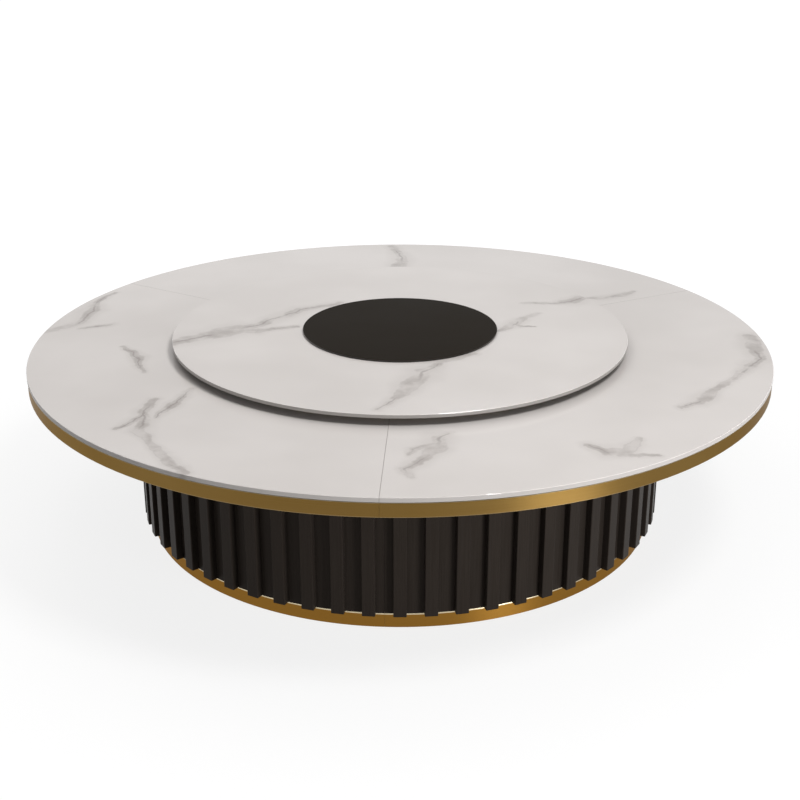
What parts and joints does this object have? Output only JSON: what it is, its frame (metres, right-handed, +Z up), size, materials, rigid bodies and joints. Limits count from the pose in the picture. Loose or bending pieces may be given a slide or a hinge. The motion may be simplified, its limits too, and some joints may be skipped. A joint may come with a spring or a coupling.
{
  "type": "dining table with lazy susan",
  "caption": "Round stone-topped dining table on a slatted black drum base with a brass-coloured band and plinth, and a raised stone turntable that spins on a ball bearing.",
  "frame": {"origin": "on the floor under the table's centre", "axes": "+Z up along the turntable's axis; -Y is the front"},
  "size_m": [2.9999, 3, 0.795],
  "materials": {
    "stone": "pale veined stone, polished",
    "brass": "satin brushed along the strip",
    "black_lacquer": "warm black lacquer, satin",
    "disc_black": "warm black lacquer, semi-gloss",
    "plywood": "raw plywood",
    "frame_steel": "black powder coat",
    "zinc_steel": "zinc plated",
    "bearing_steel": "ground and polished",
    "aluminium": "turned",
    "nylon": "natural nylon",
    "foot_plastic": "black moulded",
    "felt": "pressed felt"
  },
  "bodies": {
    "base": {"stone_top_a": "stone", "stone_top_b": "stone", "stone_top_c": "stone", "top_board_a": "plywood", "top_board_b": "plywood", "top_board_c": "plywood", "edge_rim_a": "black_lacquer", "edge_rim_b": "black_lacquer", "edge_rim_c": "black_lacquer", "edge_band_a": "brass", "edge_band_b": "brass", "edge_band_c": "brass", "underside_panel_a": "black_lacquer", "underside_panel_b": "black_lacquer", "underside_panel_c": "black_lacquer", "centre_board": "plywood", "frame_hub": "frame_steel", "frame_arm_1": "frame_steel", "frame_arm_2": "frame_steel", "frame_arm_3": "frame_steel", "frame_arm_4": "frame_steel", "frame_arm_5": "frame_steel", "frame_arm_6": "frame_steel", "hub_bolts": "zinc_steel", "arm_bolts": "zinc_steel", "board_screws": "zinc_steel", "underside_screws": "zinc_steel", "drum_panel_a": "black_lacquer", "drum_panel_b": "black_lacquer", "drum_panel_c": "black_lacquer", "drum_slats_a": "black_lacquer", "drum_slats_b": "black_lacquer", "drum_slats_c": "black_lacquer", "drum_top_ring": "plywood", "drum_bottom_ring": "plywood", "drum_posts": "plywood", "plinth_board": "plywood", "plinth_ring_a": "brass", "plinth_ring_b": "brass", "plinth_ring_c": "brass", "foot_pads": "foot_plastic", "foot_stems": "zinc_steel", "slat_screws": "zinc_steel", "post_screws": "zinc_steel", "bearing_inner_ring": "aluminium", "bearing_base_screws": "zinc_steel"},
    "turntable": {"bearing_outer_ring": "aluminium", "carrier_screws": "zinc_steel", "turntable_board": "plywood", "turntable_stone": "stone", "wheel_brackets": "zinc_steel", "wheel_axles": "zinc_steel", "centre_disc": "disc_black", "disc_pads": "felt"},
    "ball_cage": {"bearing_cage": "nylon", "bearing_balls": "bearing_steel"},
    "wheel_1": {"balance_wheel_1": "nylon"},
    "wheel_2": {"balance_wheel_2": "nylon"},
    "wheel_3": {"balance_wheel_3": "nylon"},
    "wheel_4": {"balance_wheel_4": "nylon"}
  },
  "joints": [
    {"name": "turntable_spin", "type": "hinge", "parent": "base", "child": "turntable", "pos_m": [0, 0, 0.749], "axis": [0, 0, 1], "continuous": true},
    {"name": "cage_orbit", "type": "hinge", "parent": "base", "child": "ball_cage", "pos_m": [0, 0, 0.749], "axis": [0, 0, 1], "continuous": true},
    {"name": "wheel_1_spin", "type": "hinge", "parent": "turntable", "child": "wheel_1", "pos_m": [0.55154, 0.55154, 0.7525], "axis": [0.7071, 0.7071, 0], "continuous": true},
    {"name": "wheel_2_spin", "type": "hinge", "parent": "turntable", "child": "wheel_2", "pos_m": [-0.55154, 0.55154, 0.7525], "axis": [-0.7071, 0.7071, 0], "continuous": true},
    {"name": "wheel_3_spin", "type": "hinge", "parent": "turntable", "child": "wheel_3", "pos_m": [-0.55154, -0.55154, 0.7525], "axis": [-0.7071, -0.7071, 0], "continuous": true},
    {"name": "wheel_4_spin", "type": "hinge", "parent": "turntable", "child": "wheel_4", "pos_m": [0.55154, -0.55154, 0.7525], "axis": [0.7071, -0.7071, 0], "continuous": true}
  ],
  "couplings": [
    {"joint": "cage_orbit", "follows": "turntable_spin", "ratio": 0.5058}
  ]
}
